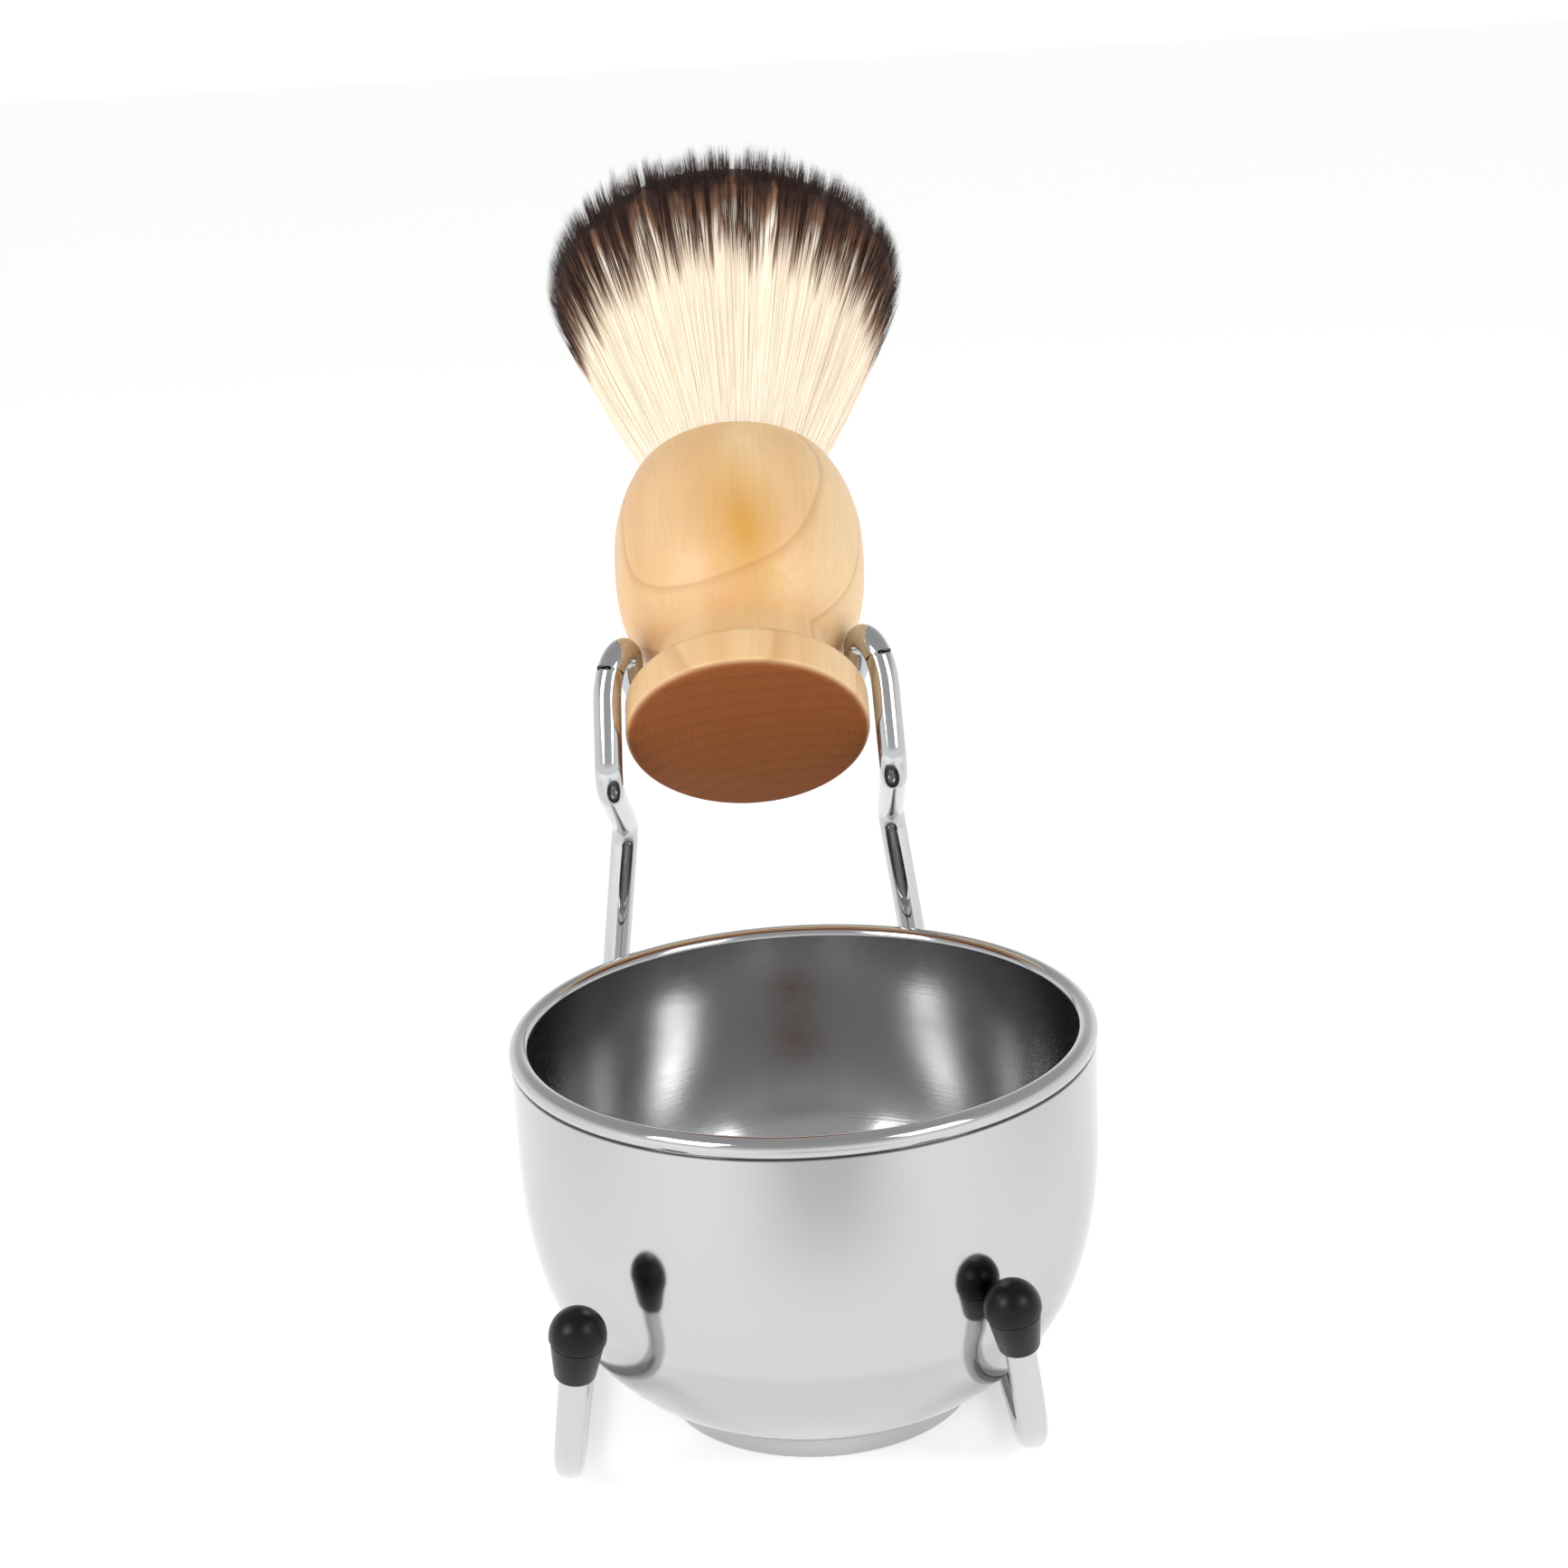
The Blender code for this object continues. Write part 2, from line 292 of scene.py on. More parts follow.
def add_node(tree, kind, settings, stops=(), **inputs):
    """Add a node with its settings and links; stops are a ramp's places and their greys or colours."""
    item = tree.nodes.new(kind)
    for name, value in settings.items():
        setattr(item, name, value)
    if stops:
        elements = item.color_ramp.elements
        for _ in stops[2:]:
            elements.new(0.5)
        for element, (place, colour) in zip(elements, stops):
            element.position = place
            element.color = (colour, colour, colour, 1.0) if isinstance(colour, float) else (*colour, 1.0)
    set_inputs(tree, item, **inputs)
    return item


def shaded(colour, share):
    """A darker or lighter version of a colour."""
    return tuple(share * value for value in colour)


def steel_material(name, colour, rim_colour, roughness, rim_roughness, line_depth, line_scale):
    """Pressed stainless steel, polished or brushed round its axis: fine lines run round the piece.

    The lines are 0.2 to 0.4 mm apart, coarser than the real grit so that they show. Past the lip, the
    rolled rim is buffed bright.
    """
    wear = 0.03
    material, tree, shader = start_material(name)
    place = add_node(tree, "ShaderNodeTexCoord", {}).outputs["Object"]
    x, y, z = add_node(tree, "ShaderNodeSeparateXYZ", {}, _0=place).outputs
    x_squared = add_node(tree, "ShaderNodeMath", TIMES, _0=x, _1=x).outputs[0]
    squared = add_node(tree, "ShaderNodeMath", TIMES_PLUS, _0=y, _1=y, _2=x_squared).outputs[0]
    from_axis = add_node(tree, "ShaderNodeMath", ROOT, _0=squared).outputs[0]
    ring_place = add_node(tree, "ShaderNodeCombineXYZ", {}, X=from_axis, Y=z, Z=x).outputs[0]
    spread = add_node(tree, "ShaderNodeMapping", {}, Vector=ring_place, Scale=line_scale).outputs[0]
    lines = add_node(
        tree, "ShaderNodeTexNoise", {}, Vector=spread, Scale=1.0, Detail=3.0, Roughness=0.6
    ).outputs["Fac"]
    smudge = add_node(
        tree, "ShaderNodeTexNoise", {}, Vector=place, Scale=85.0, Detail=4.0, Roughness=0.62
    ).outputs["Fac"]
    worn = add_node(
        tree, "ShaderNodeMapRange", {}, Value=smudge, From_Min=0.3, From_Max=0.7,
        To_Min=roughness - wear, To_Max=roughness + wear
    ).outputs[0]
    on_rim = add_node(
        tree, "ShaderNodeMapRange", {}, Value=from_axis,
        From_Min=BOWL_LIP_RADIUS - 0.00005, From_Max=BOWL_LIP_RADIUS + 0.0003
    ).outputs[0]
    tint = add_node(
        tree, "ShaderNodeMix", COLOURS, _0=lines, _6=shaded(colour, 0.86), _7=colour
    ).outputs[2]
    tint = add_node(tree, "ShaderNodeMix", COLOURS, _0=on_rim, _6=tint, _7=rim_colour).outputs[2]
    rough = add_node(tree, "ShaderNodeMix", {}, _0=on_rim, _2=worn, _3=rim_roughness).outputs[0]
    bump = add_node(
        tree, "ShaderNodeBump", {}, Strength=line_depth, Distance=0.00003, Height=lines
    ).outputs[0]
    set_inputs(tree, shader, Base_Color=tint, Roughness=rough, Normal=bump, Metallic=1.0)
    return material


def wire_material(colour):
    """Drawn and tumbled stainless rod: mirror-like, with faint wear blotches about 3 mm long."""
    material, tree, shader = start_material("polished_stainless_rod")
    place = add_node(tree, "ShaderNodeTexCoord", {}).outputs["Object"]
    blotch = add_node(
        tree, "ShaderNodeTexNoise", {}, Vector=place, Scale=330.0, Detail=3.0, Roughness=0.6
    ).outputs["Fac"]
    tint = add_node(
        tree, "ShaderNodeMix", COLOURS, _0=blotch, _6=shaded(colour, 0.9), _7=colour
    ).outputs[2]
    rough = add_node(
        tree, "ShaderNodeMapRange", {}, Value=blotch, From_Min=0.3, From_Max=0.7, To_Min=0.05, To_Max=0.14
    ).outputs[0]
    bump = add_node(
        tree, "ShaderNodeBump", {}, Strength=0.12, Distance=0.00003, Height=blotch
    ).outputs[0]
    set_inputs(tree, shader, Base_Color=tint, Roughness=rough, Normal=bump, Metallic=1.0)
    return material


def rubber_material(colour):
    """Moulded black rubber: satin, with a 0.3 mm pebble from the mould and paler dusting."""
    material, tree, shader = start_material("moulded_black_rubber")
    place = add_node(tree, "ShaderNodeTexCoord", {}).outputs["Object"]
    pebble = add_node(
        tree, "ShaderNodeTexNoise", {}, Vector=place, Scale=3200.0, Detail=2.0, Roughness=0.5
    ).outputs["Fac"]
    dust = add_node(
        tree, "ShaderNodeTexNoise", {}, Vector=place, Scale=420.0, Detail=3.0, Roughness=0.6
    ).outputs["Fac"]
    tint = add_node(tree, "ShaderNodeMix", COLOURS, _0=dust, _6=colour, _7=shaded(colour, 1.5)).outputs[2]
    rough = add_node(tree, "ShaderNodeMapRange", {}, Value=dust, To_Min=0.26, To_Max=0.40).outputs[0]
    bump = add_node(
        tree, "ShaderNodeBump", {}, Strength=0.25, Distance=0.00002, Height=pebble
    ).outputs[0]
    set_inputs(tree, shader, Base_Color=tint, Roughness=rough, Normal=bump, IOR=1.5, Specular_IOR_Level=0.25)
    return material


def wood_material(settings):
    """Turned and lacquered pale hardwood: fibres run along the handle, its sides cut the growth rings
    aslant in bows, and the flat base shows them as end grain, darkened further by painted shade.
    """
    dark_year = 0.0086
    base_year = 0.0029
    ring_waver = 0.0040
    material, tree, shader = start_material("lacquered_pale_hardwood")
    place = add_node(tree, "ShaderNodeTexCoord", {}).outputs["Object"]
    on_brush = add_node(
        tree, "ShaderNodeMapping", PLACED, Vector=place,
        Location=BRUSH_BASE_CENTRE, Rotation=(-BRUSH_TILT, 0.0, -BRUSH_SWING)
    ).outputs[0]

    # Growth rings round a pith well behind the handle that leans back a little
    leaning = add_node(
        tree, "ShaderNodeMapping", PLACED, Vector=on_brush,
        Location=(0.0099, 0.0437, 0.0293), Rotation=(math.radians(-5.6), math.radians(1.3), 0.0)
    ).outputs[0]
    warp = add_node(
        tree, "ShaderNodeTexNoise", {}, Vector=leaning, Scale=32.0, Detail=1.0, Roughness=0.40
    ).outputs["Fac"]
    x, y, _ = add_node(tree, "ShaderNodeSeparateXYZ", {}, _0=leaning).outputs
    x_squared = add_node(tree, "ShaderNodeMath", TIMES, _0=x, _1=x).outputs[0]
    squared = add_node(tree, "ShaderNodeMath", TIMES_PLUS, _0=y, _1=y, _2=x_squared).outputs[0]
    from_pith = add_node(tree, "ShaderNodeMath", ROOT, _0=squared).outputs[0]
    wavy = add_node(tree, "ShaderNodeMath", TIMES_PLUS, _0=warp, _1=ring_waver, _2=from_pith).outputs[0]
    years = add_node(tree, "ShaderNodeMath", TIMES, _0=wavy, _1=1.0 / dark_year).outputs[0]
    year = add_node(tree, "ShaderNodeMath", FRACTION, _0=years).outputs[0]
    stops = [(0.0, 0.0), (0.88, 0.05), (0.975, 1.0), (1.0, 0.0)]
    ring = add_node(tree, "ShaderNodeValToRGB", {}, stops, Fac=year).outputs[0]
    base_years = add_node(tree, "ShaderNodeMath", TIMES, _0=wavy, _1=1.0 / base_year).outputs[0]
    year = add_node(tree, "ShaderNodeMath", FRACTION, _0=base_years).outputs[0]
    stops = [(0.0, 0.0), (0.55, 0.1), (0.9, 1.0), (1.0, 0.0)]
    base_ring = add_node(tree, "ShaderNodeValToRGB", {}, stops, Fac=year).outputs[0]

    # Fibres about half a millimetre across and 10 mm long, coarser than real ones so that they show
    stretched = add_node(tree, "ShaderNodeMapping", {}, Vector=on_brush, Scale=(1.0, 1.0, 0.07)).outputs[0]
    fibre = add_node(
        tree, "ShaderNodeTexNoise", {}, Vector=stretched, Scale=1500.0, Detail=3.0, Roughness=0.6
    ).outputs["Fac"]
    cloud = add_node(
        tree, "ShaderNodeTexNoise", {}, Vector=stretched, Scale=95.0, Detail=2.0, Roughness=0.5
    ).outputs["Fac"]
    stops = [(0.34, 0.0), (0.66, 1.0)]
    cloudy = add_node(tree, "ShaderNodeValToRGB", {}, stops, Fac=cloud).outputs[0]
    colour = add_node(
        tree, "ShaderNodeMix", COLOURS, _0=cloudy, _6=settings.wood, _7=settings.wood_light
    ).outputs[2]

    # Golden mineral streak up the front of the ball
    streak_place = add_node(
        tree, "ShaderNodeMapping", PLACED, Vector=on_brush, Location=(0.0010, -0.0185, 0.0240),
        Rotation=(0.0, math.radians(-8.0), 0.0), Scale=(0.0070, 0.0200, 0.0170)
    ).outputs[0]
    streak = add_node(
        tree, "ShaderNodeTexGradient", {"gradient_type": "SPHERICAL"}, Vector=streak_place
    ).outputs["Fac"]
    amount = add_node(
        tree, "ShaderNodeMath", {"operation": "MULTIPLY", "use_clamp": True}, _0=streak, _1=1.15
    ).outputs[0]
    colour = add_node(tree, "ShaderNodeMix", COLOURS, _0=amount, _6=colour, _7=settings.streak).outputs[2]

    # Dark fibres and the dark edge of each year
    stops = [(0.40, 0.0), (0.75, 0.13)]
    amount = add_node(tree, "ShaderNodeValToRGB", {}, stops, Fac=fibre).outputs[0]
    colour = add_node(
        tree, "ShaderNodeMix", COLOURS, _0=amount, _6=colour, _7=settings.growth_line
    ).outputs[2]
    amount = add_node(tree, "ShaderNodeMath", TIMES, _0=ring, _1=0.36).outputs[0]
    colour = add_node(
        tree, "ShaderNodeMix", COLOURS, _0=amount, _6=colour, _7=settings.growth_line
    ).outputs[2]

    # End grain on the flat base: specks, rings, and turning marks 0.9 mm apart round its middle. Its colour
    # is the end grain's own darker brown plus painted shade, since the base faces down.
    speck = add_node(
        tree, "ShaderNodeTexNoise", {}, Vector=on_brush, Scale=700.0, Detail=4.0, Roughness=0.7
    ).outputs["Fac"]
    stops = [(0.35, 0.0), (0.7, 1.0)]
    amount = add_node(tree, "ShaderNodeValToRGB", {}, stops, Fac=speck).outputs[0]
    end = add_node(
        tree, "ShaderNodeMix", COLOURS, _0=amount, _6=shaded(settings.end_grain_and_shade, 0.86), _7=settings.end_grain_and_shade
    ).outputs[2]
    amount = add_node(tree, "ShaderNodeMath", TIMES, _0=base_ring, _1=0.45).outputs[0]
    end = add_node(
        tree, "ShaderNodeMix", COLOURS, _0=amount, _6=end, _7=shaded(settings.end_grain_and_shade, 0.62)
    ).outputs[2]
    marks = add_node(
        tree, "ShaderNodeTexWave", {"wave_type": "RINGS", "rings_direction": "Z"}, Vector=on_brush,
        Scale=350.0, Distortion=1.6, Detail=3.0, Detail_Scale=0.5
    ).outputs["Fac"]
    stops = [(0.45, 0.0), (1.0, 0.24)]
    amount = add_node(tree, "ShaderNodeValToRGB", {}, stops, Fac=marks).outputs[0]
    end = add_node(
        tree, "ShaderNodeMix", COLOURS, _0=amount, _6=end, _7=shaded(settings.end_grain_and_shade, 1.25)
    ).outputs[2]
    height = add_node(tree, "ShaderNodeSeparateXYZ", {}, _0=on_brush).outputs[2]
    on_base = add_node(
        tree, "ShaderNodeMapRange", {}, Value=height, From_Min=0.00075, From_Max=0.00015
    ).outputs[0]
    colour = add_node(tree, "ShaderNodeMix", COLOURS, _0=on_base, _6=colour, _7=end).outputs[2]

    rough = add_node(tree, "ShaderNodeMapRange", {}, Value=fibre, To_Min=0.38, To_Max=0.52).outputs[0]
    rough = add_node(tree, "ShaderNodeMix", {}, _0=on_base, _2=rough, _3=0.72).outputs[0]
    bump = add_node(tree, "ShaderNodeBump", {}, Strength=0.12, Distance=0.00005, Height=fibre).outputs[0]
    set_inputs(tree, shader, Base_Color=colour, Roughness=rough, Normal=bump)
    set_inputs(tree, shader, Coat_Weight=0.12, Coat_Roughness=0.30)
    return material


def bristle_material(settings):
    """Synthetic bristle, cream with dyed tips: the dye's edge differs from bristle to bristle."""
    dye_shift = 0.0070
    dye_reach = 0.030
    material, tree, shader = start_material("dyed_synthetic_bristle")
    from_tip = add_node(tree, "ShaderNodeAttribute", {"attribute_name": "from_tip"}).outputs["Fac"]
    tone = add_node(tree, "ShaderNodeAttribute", {"attribute_name": "tone"}).outputs["Fac"]
    shifted = add_node(tree, "ShaderNodeMath", TIMES_PLUS, _0=tone, _1=dye_shift, _2=from_tip).outputs[0]
    depth = add_node(tree, "ShaderNodeMath", TIMES, _0=shifted, _1=1.0 / dye_reach).outputs[0]
    stops = [
        (0.0, settings.hair_tip),
        (0.42, settings.hair_tip),
        (0.54, settings.hair_middle),
        (0.66, settings.hair),
    ]
    colour = add_node(tree, "ShaderNodeValToRGB", {}, stops, Fac=depth).outputs[0]
    stops = [(0.0, 0.0), (0.7, 0.02), (1.0, 0.22)]
    amount = add_node(tree, "ShaderNodeValToRGB", {}, stops, Fac=tone).outputs[0]
    colour = add_node(
        tree, "ShaderNodeMix", COLOURS, _0=amount, _6=colour, _7=settings.hair_middle
    ).outputs[2]
    # A faint glow stands for the light that passes from bristle to bristle
    set_inputs(tree, shader, Base_Color=colour, Emission_Color=colour, Emission_Strength=0.17)
    set_inputs(tree, shader, Roughness=0.50, Specular_IOR_Level=0.20)
    return material


def resin_material(colour):
    """Set resin: glossy and slightly cloudy, with clouds about 2 mm across."""
    material, tree, shader = start_material("set_resin")
    place = add_node(tree, "ShaderNodeTexCoord", {}).outputs["Object"]
    cloud = add_node(
        tree, "ShaderNodeTexNoise", {}, Vector=place, Scale=500.0, Detail=2.0
    ).outputs["Fac"]
    tint = add_node(tree, "ShaderNodeMix", COLOURS, _0=cloud, _6=shaded(colour, 0.8), _7=colour).outputs[2]
    set_inputs(tree, shader, Base_Color=tint, Roughness=0.25)
    return material


# ---------------------------------------------------------------- bowl


def bowl_wall_radius(height):
    """Radius of the bowl's outer face: straight above the shoulder, round below it."""
    drop = max(0.0, (BOWL_SHOULDER_HEIGHT - height) / BOWL_SHOULDER_HEIGHT)
    return BOWL_WALL_RADIUS * (1.0 - drop**BOWL_CURVE_POWER) ** (1.0 / BOWL_CURVE_POWER)


def bowl_inside_radius(height):
    """Radius of the bowl's inner face: straight above the shoulder, round down to its floor."""
    deep = BOWL_SHOULDER_HEIGHT - BOWL_INSIDE_FLOOR
    drop = min(1.0, max(0.0, (BOWL_SHOULDER_HEIGHT - height) / deep))
    return BOWL_LIP_RADIUS * (1.0 - drop**BOWL_INSIDE_POWER) ** (1.0 / BOWL_INSIDE_POWER)


class MESH_OT_shaving_bowl(bpy.types.Operator):
    """Turn the bowl's outer cup and its inner cup with the rolled rim"""

    bl_idname = "mesh.shaving_bowl"
    bl_label = "Steel Bowl"

    def execute(self, context):
        settings = context.scene.shaving_bowl
        sheet = settings.sheet
        rim_radius = (BOWL_RADIUS - BOWL_LIP_RADIUS) / 2.0
        rim_centre = BOWL_LIP_RADIUS + rim_radius
        rim_height = BOWL_HEIGHT - rim_radius
        outer_top = rim_height - SEAM_DEPTH
        top_edge = 0.0001
        foot_edge = 0.0004
        foot_cove = 0.0012
        flank_start = 0.0045
        rim_tuck = 0.0010
        steps = 36

        # The outer cup: foot, flank and straight wall, then back down its inner face
        rise = BOWL_SHOULDER_HEIGHT - flank_start
        flank = [flank_start + rise * (step / steps) ** 1.4 for step in range(steps + 1)]
        outline = [(0.0, 0.0), (BOWL_FOOT_RADIUS - 1.5 * foot_edge, 0.0)]
        outline += arc(BOWL_FOOT_RADIUS - foot_edge, foot_edge, foot_edge, -90, 0, 4)
        cove_height = BOWL_FOOT_HEIGHT - foot_edge / 2.0
        outline += arc(BOWL_FOOT_RADIUS + foot_cove, cove_height, foot_cove, 180, 115, 5)
        outline += [(bowl_wall_radius(height), height) for height in flank]
        outline += [(BOWL_WALL_RADIUS, outer_top - top_edge), (BOWL_WALL_RADIUS - top_edge, outer_top)]
        outline += [(BOWL_WALL_RADIUS - sheet, outer_top)]
        outline += [(bowl_wall_radius(height) - sheet, height) for height in reversed(flank[1:])]
        outline += [(BOWL_FOOT_RADIUS, flank_start), (BOWL_FOOT_RADIUS - sheet, sheet), (0.0, sheet)]
        outer = turn_outline("bowl_outer_wall", outline, settings.sides)
        polished = steel_material(
            "polished_pressed_stainless", settings.outside, settings.outside, roughness=0.12,
            rim_roughness=0.11, line_depth=0.10, line_scale=(900.0, 2600.0, 22.0)
        )
        dress(outer, polished, "bowl", "bowl_outside", "bowl_outer_shell")

        # The inner cup: up its hidden face, over the rolled rim and down its inside
        deep = BOWL_SHOULDER_HEIGHT - BOWL_INSIDE_FLOOR
        wall = [BOWL_INSIDE_FLOOR + deep * (step / steps) ** 2.6 for step in range(steps + 1)]
        outline = [(0.0, BOWL_INSIDE_FLOOR - sheet)]
        outline += [(bowl_inside_radius(height + 0.6 * sheet), height - sheet) for height in wall[3:-1]]
        outline += [(BOWL_LIP_RADIUS + sheet, BOWL_SHOULDER_HEIGHT)]
        outline += [(BOWL_LIP_RADIUS + sheet, rim_height - rim_tuck)]
        outline += arc(rim_centre, rim_height, rim_radius, -55, 180, 28)
        outline += [(bowl_inside_radius(height), height) for height in reversed(wall)]
        inner = turn_outline("bowl_inner_wall_with_rim", outline, settings.sides)
        brushed = steel_material(
            "brushed_pressed_stainless", settings.inside, settings.outside, roughness=0.17,
            rim_roughness=0.09, line_depth=0.30, line_scale=(5200.0, 5200.0, 30.0)
        )
        dress(inner, brushed, "bowl", "bowl_inside", "bowl_inner_shell")
        return {"FINISHED"}


# ---------------------------------------------------------------- stand


def bent_path(corners, bend_step):
    """Turn corners with bend radii into points along straight runs and round bends."""
    path = [corners[0][0]]
    for before, (corner, radius), after in zip(corners, corners[1:], corners[2:]):
        arriving = (corner - before[0]).normalized()
        leaving = (after[0] - corner).normalized()
        turn = arriving.angle(leaving)
        axis = arriving.cross(leaving).normalized()
        start = corner - arriving * radius * math.tan(turn / 2.0)
        centre = start + axis.cross(arriving) * radius
        steps = max(3, round(turn / bend_step))
        for step in range(steps + 1):
            path.append(centre + Matrix.Rotation(turn * step / steps, 3, axis) @ (start - centre))
    path.append(corners[-1][0])
    return path


class MESH_OT_shaving_stand(bpy.types.Operator):
    """Bend the stand from one rod, from its left front prong round to its right front prong"""

    bl_idname = "mesh.shaving_stand"
    bl_label = "Wire Stand"

    def execute(self, context):
        settings = context.scene.shaving_stand
        bend_step = math.radians(4.0)
        right = []
        left = []
        for middle, corners in ((STAND_MIDDLE_X, BASE_CORNERS), (FORK_MIDDLE_X, FORK_CORNERS)):
            for half, y, z, radius in corners:
                right.append((Vector((middle + half, y, z)), radius))
                left.append((Vector((middle - half, y, z)), radius))
        points = bent_path(left + right[::-1], bend_step)
        draw_line("stand_rod", points)
        bpy.ops.object.mode_set(mode="OBJECT")
        bpy.ops.object.convert(target="CURVE")
        rod = bpy.context.object
        rod.data.bevel_depth = settings.wire_radius
        rod.data.bevel_resolution = 10
        rod.data.use_fill_caps = True
        bpy.ops.object.convert(target="MESH")
        rod = bpy.context.object
        bpy.ops.object.mode_set(mode="EDIT")
        bpy.ops.mesh.select_all(action="SELECT")
        bpy.ops.mesh.remove_doubles(threshold=0.000002)
        bpy.ops.mesh.normals_make_consistent(inside=False)
        bpy.ops.object.mode_set(mode="OBJECT")
        bpy.ops.object.shade_smooth_by_angle(angle=math.radians(40))
        dress(rod, wire_material(settings.wire), "stand", "wire", "stand_wire")
        return {"FINISHED"}


class MESH_OT_shaving_caps(bpy.types.Operator):
    """Turn one rubber cap and push a copy onto each front prong"""

    bl_idname = "mesh.shaving_caps"
    bl_label = "Rubber Caps"

    def execute(self, context):
        settings = context.scene.shaving_stand
        rubber = rubber_material(settings.rubber)
        edge = 0.0002
        bore_past_step = 0.0025
        sides = 56
        step_height = CAP_LENGTH - CAP_DOME_HEIGHT
        bore_depth = step_height + bore_past_step
        step_radius = CAP_SLEEVE_TOP_RADIUS - edge
        dome_centre = CAP_LENGTH - CAP_DOME_RADIUS
        outline = [(0.0, bore_depth), (CAP_BORE_RADIUS, bore_depth), (CAP_BORE_RADIUS, 0.0)]
        outline += [(CAP_SLEEVE_MOUTH_RADIUS - edge / 2.0, 0.0), (CAP_SLEEVE_MOUTH_RADIUS, edge)]
        outline += [(CAP_SLEEVE_TOP_RADIUS - edge / 4.0, step_height - 2.0 * edge)]
        outline += [(step_radius, step_height - edge), (step_radius, step_height)]
        outline += arc(CAP_DOME_RADIUS - edge, step_height + edge, edge, -90, 0, 4)
        outline += arc(0.0, dome_centre, CAP_DOME_RADIUS, 0, 90, 18)[:-1]
        outline.append((0.0, CAP_LENGTH))
        tip, foot = BASE_CORNERS[0], BASE_CORNERS[1]
        for name, side in (("rubber_cap_left", -1.0), ("rubber_cap_right", 1.0)):
            low = Vector((STAND_MIDDLE_X + side * foot[0], foot[1], foot[2]))
            high = Vector((STAND_MIDDLE_X + side * tip[0], tip[1], tip[2]))
            along = (high - low).normalized()
            mouth = low + along * ((CAP_MOUTH_HEIGHT - low.z) / along.z)
            place = Matrix.Translation(mouth) @ along.to_track_quat("Z", "Y").to_matrix().to_4x4()
            cap = turn_outline("moulded_" + name, outline, sides, place)
            dress(cap, rubber, "stand", "cap_rubber", name)
        return {"FINISHED"}


# ---------------------------------------------------------------- brush


def ball_radius(height):
    """Radius of the handle's ball: long and egg-shaped, fuller on its lower side."""
    part = abs(height - BALL_AT) / BALL_HALF_LENGTH
    power = BALL_LOWER_POWER if height < BALL_AT else 2.0
    return BALL_RADIUS * (1.0 - part**power) ** (1.0 / power)


class MESH_OT_shaving_handle(bpy.types.Operator):
    """Turn the wooden handle: flange, cove, ball and socket"""

    bl_idname = "mesh.shaving_handle"
    bl_label = "Wooden Handle"

    def execute(self, context):
        settings = context.scene.shaving_brush
        outline = [(0.0, 0.0)]
        outline += arc(BASE_RADIUS - BASE_ROUNDING, BASE_ROUNDING, BASE_ROUNDING, -90, 0, 8)
        shoulder = BASE_THICKNESS - BASE_ROUNDING
        outline += arc(BASE_RADIUS - BASE_ROUNDING, shoulder, BASE_ROUNDING, 0, 80, 8)
        cove = NECK_AT - BASE_THICKNESS
        outline += arc(NECK_RADIUS + cove, NECK_AT, cove, 240, 180, 8)
        top = HANDLE_LENGTH - HANDLE_TOP_ROUNDING
        steps = 48
        for step in range(steps + 1):
            height = BALL_START + (top - BALL_START) * step / steps
            outline.append((ball_radius(height), height))
        # A small round edge, the flat top and the socket
        inner = ball_radius(HANDLE_LENGTH) - HANDLE_TOP_ROUNDING
        outline += [(inner + 0.45 * HANDLE_TOP_ROUNDING, HANDLE_LENGTH - 0.15 * HANDLE_TOP_ROUNDING)]
        outline += [(inner, HANDLE_LENGTH), (SOCKET_RADIUS, HANDLE_LENGTH)]
        outline += [(SOCKET_RADIUS, HANDLE_LENGTH - SOCKET_DEPTH), (0.0, HANDLE_LENGTH - SOCKET_DEPTH)]
        handle = turn_outline("turned_handle", outline, settings.sides, BRUSH_PLACE)
        dress(handle, wood_material(settings), "brush", "handle_wood", "brush_handle")
        return {"FINISHED"}


def fan_part(along):
    """Share of the way from the handle's top to the fan's widest place."""
    return np.clip((along - HANDLE_LENGTH) / (KNOT_WIDEST_AT - HANDLE_LENGTH), 0.0, 1.0)


def fan_radius(along):
    """Half the width of the fan of bristles."""
    return KNOT_ROOT_RADIUS + (KNOT_HALF_WIDTH - KNOT_ROOT_RADIUS) * fan_part(along) ** KNOT_FAN_POWER


def fan_flatness(along):
    """The fan's depth from front to back as a share of its width."""
    return 1.0 - (1.0 - KNOT_FLATNESS) * fan_part(along)


def keep_per_vertex(mesh, **values):
    """Give a mesh one number a vertex for each name, for the bristle material to read."""
    for name, numbers in values.items():
        mesh.attributes.new(name, "FLOAT", "POINT").data.foreach_set("value", numbers.astype(np.float32))


